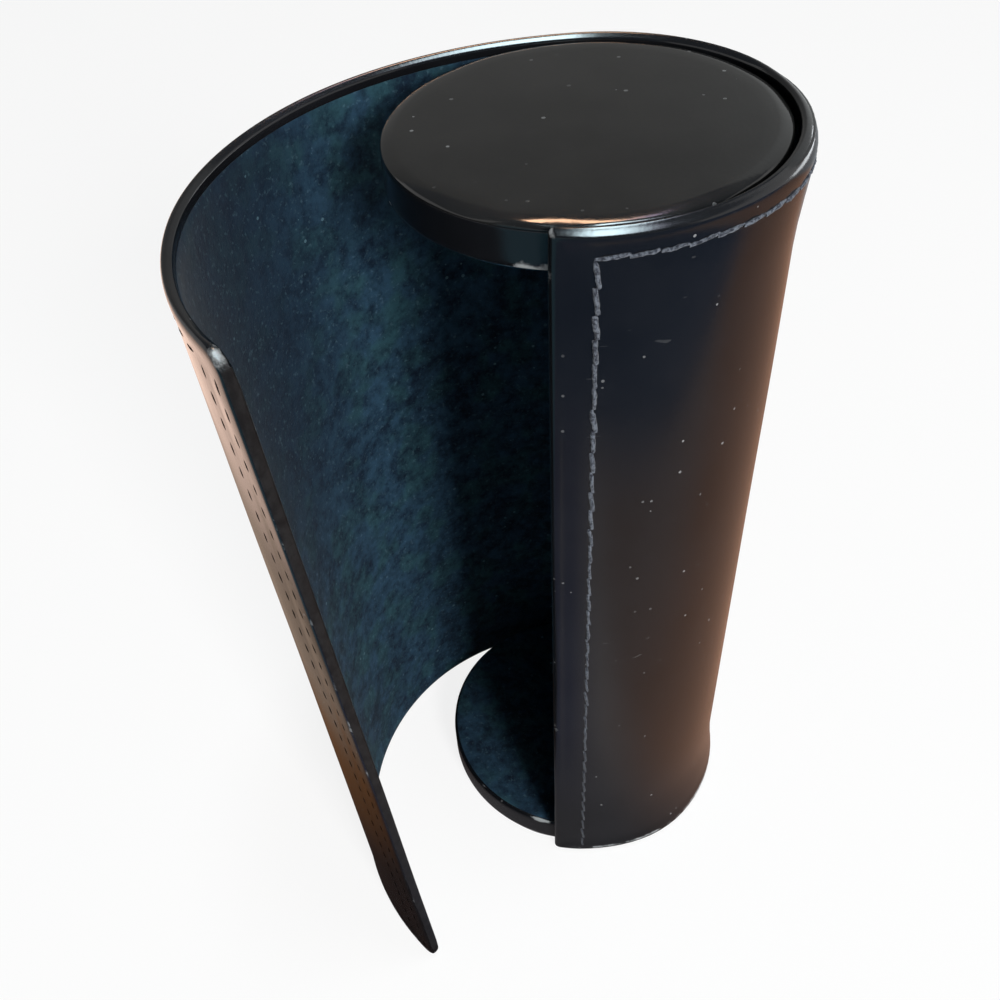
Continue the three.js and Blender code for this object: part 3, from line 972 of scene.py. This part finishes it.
def upright_corners(start, end, low, high):
    return [(*start, low), (*end, low), (*end, high), (*start, high)]


def add_quad(name, corners):
    mesh = bpy.data.meshes.new(name)
    mesh.from_pydata(corners, [], [(0, 1, 2, 3)])
    return add_object(name, mesh)


def seen_rays(tree):
    """1 for what the camera sees, directly or in a reflection."""
    rays = add_node(tree, "ShaderNodeLightPath").outputs
    seen = math_node(tree, "ADD", rays["Is Camera Ray"], rays["Is Glossy Ray"])
    return math_node(tree, "ADD", seen, rays["Is Transmission Ray"], clamp=True)


def make_floor():
    """Pale floor that keeps the shadow and shows near white to the camera and in reflections."""
    span = (-FLOOR_HALF, FLOOR_HALF)
    floor = add_quad("floor", level_corners(span, span, 0))
    material, tree, shader = new_material("pale_floor")
    feed(tree, shader, {"Base Color": (0.92, 0.92, 0.92, 1), "Roughness": 0.9,
                        "Specular IOR Level": 0.0})
    white = result(tree, "ShaderNodeEmission", {"Color": (1.0, 1.0, 1.0, 1.0), "Strength": 1.0})
    share = times(tree, seen_rays(tree), FLOOR_WHITE)
    mixed = result(tree, "ShaderNodeMixShader", {0: share, 1: shader.outputs[0], 2: white})
    feed(tree, tree.nodes["Material Output"], {"Surface": mixed})
    floor.data.materials.append(material)


def make_card(name, corners, colour):
    """Studio card that only reflections see, in a colour or with a function that adds its nodes."""
    card = add_quad(name, corners)
    material = bpy.data.materials.new(name)
    material.use_nodes = True
    tree = material.node_tree
    tree.nodes.clear()
    shown = colour(tree) if callable(colour) else (*colour, 1.0)
    glow = result(tree, "ShaderNodeEmission", {"Color": shown, "Strength": 1.0})
    add_node(tree, "ShaderNodeOutputMaterial", {"Surface": glow})
    card.data.materials.append(material)
    for ray in ("camera", "diffuse", "transmission", "volume_scatter", "shadow"):
        setattr(card, f"visible_{ray}", False)


def table_colour(tree):
    """Table about the case: painted shadow close round it, pale in front, dim farther out, warm on
    the right and left.
    """
    place = own_place(tree)
    axes = axes_of(tree, place)
    x, y = axes["X"], axes["Y"]
    values = {0: place}
    distance = add_node(tree, "ShaderNodeVectorMath", values, operation="LENGTH").outputs["Value"]
    shore = math_node(tree, "SUBTRACT", y, times(tree, x, 0.45))
    front = mix_colour(tree, ramp(tree, x, -0.015, 0.02), (0.16, 0.18, 0.31), (0.64, 0.58, 0.57))
    # Painted shadow: the table darkens close round the case
    front = mix_colour(tree, ramp(tree, distance, 0.035, 0.075), (0.20, 0.19, 0.20), front)
    side = mix_colour(tree, ramp(tree, y, -0.03, -0.10), (0.50, 0.28, 0.19), (0.50, 0.37, 0.32))
    lit = mix_colour(tree, ramp(tree, x, 0.008, 0.045), front, side)
    lit = mix_colour(tree, ramp(tree, y, 0.18, 0.28), lit, (0.40, 0.42, 0.44))
    table = mix_colour(tree, ramp(tree, shore, -0.205, -0.165), (0.05, 0.12, 0.25), lit)
    cool = mix_colour(tree, ramp(tree, x, -0.08, -0.12), table, (0.14, 0.38, 0.50))
    warm = mix_colour(tree, ramp(tree, x, -0.05, -0.075), (0.03, 0.02, 0.018), (0.17, 0.075, 0.03))
    warm = mix_colour(tree, ramp(tree, x, -0.072, -0.10), warm, (0.45, 0.33, 0.25))
    warm = mix_colour(tree, ramp(tree, x, -0.13, -0.17), warm, (1.6, 1.15, 0.94))
    left = times(tree, ramp(tree, x, -0.02, -0.035), ramp(tree, y, -0.10, -0.07))
    return mix_colour(tree, left, cool, warm)


def fading(start, end, left, right):
    """Colour of a card that goes over from left to right between two places."""
    def colour(tree):
        across = axes_of(tree, own_place(tree))["X"]
        return mix_colour(tree, ramp(tree, across, start, end), left, right)
    return colour


def make_lamp(name, place, aim, size, power, colour):
    """Lamp that reflections don't see."""
    data = bpy.data.lights.new(name, "AREA")
    data.shape = "RECTANGLE"
    data.size, data.size_y = size
    data.energy = power
    data.color = colour
    lamp = add_object(name, data)
    lamp.location = place
    lamp.rotation_euler = (Vector(aim) - Vector(place)).to_track_quat("-Z", "Y").to_euler()
    lamp.visible_glossy = False


def make_world(ambient):
    """Even ambient light, with white for what the camera and reflections see."""
    world = bpy.data.worlds.new("studio")
    bpy.context.scene.world = world
    world.use_nodes = True
    tree = world.node_tree
    values = {"Value": seen_rays(tree), "To Min": ambient, "To Max": 1.0}
    strength = result(tree, "ShaderNodeMapRange", values)
    feed(tree, tree.nodes["Background"], {"Color": (1.0, 1.0, 1.0, 1.0), "Strength": strength})


def make_camera():
    """Camera fitted to the photo."""
    data = bpy.data.cameras.new("camera")
    data.sensor_width = SENSOR
    data.lens = LENS
    data.shift_x, data.shift_y = LENS_SHIFT
    data.clip_start = NEAREST_SEEN
    camera = add_object("camera", data)
    right, up = Vector(CAMERA_RIGHT), Vector(CAMERA_UP)
    back = right.cross(up).normalized()
    turn = Matrix((right, up, back)).transposed().to_4x4()
    camera.matrix_world = Matrix.Translation(CAMERA_PLACE) @ turn
    bpy.context.scene.camera = camera


STUDIO_CARDS = (
    ("table_card", level_corners((-0.9, 0.9), (-0.9, 0.9), 0.001), table_colour),
    ("back_card", upright_corners((-2.0, 1.2), (2.0, 1.2), 0.0, 1.3),
     fading(0.1, 0.7, (0.28, 0.28, 0.275), (0.58, 0.60, 0.60))),
    ("front_card", upright_corners((-2.0, -1.6), (2.0, -1.6), 0.0, 2.2), (0.06, 0.10, 0.14)),
    ("ceiling_card", level_corners((-2.5, 2.5), (-2.5, 2.5), 2.3), (0.16, 0.18, 0.21)),
    ("warm_strip", level_corners((-0.09, 0.42), (0.44, 0.66), 1.3),
     fading(0.1, 0.34, (40.0, 24.0, 15.0), (6.0, 5.0, 7.0))),
    ("window_card", upright_corners((0.8, 0.95), (1.25, 0.4), 0.03, 0.27), (5.0, 5.2, 5.4)),
    ("skylight_card", level_corners((0.0, 0.75), (-0.95, 0.12), 1.6),
     fading(0.2, 0.7, (34.0, 43.0, 46.0), (3.0, 2.9, 3.8))),
)

make_camera()
make_wall()
make_flap()
make_cap("bottom_cap", None)
make_cap("top_cap", CASE_HEIGHT - CAP_SETBACK)
dress_inner_nodes()
make_floor()
make_world(AMBIENT)
for card_name, card_corners, card_colour in STUDIO_CARDS:
    make_card(card_name, card_corners, card_colour)
make_lamp("overhead_softbox", place=(0.17, -0.03, 1.6), aim=(0.1, 0, 0.1), size=(0.3, 0.2),
          power=7.0, colour=(0.9, 0.98, 1.0))
make_lamp("front_key", place=(0.64, -1.27, 0.8), aim=(0, 0, 0.08), size=(0.4, 0.4),
          power=29.0, colour=(1.0, 0.99, 0.97))
bpy.context.scene.view_settings.view_transform = "Standard"
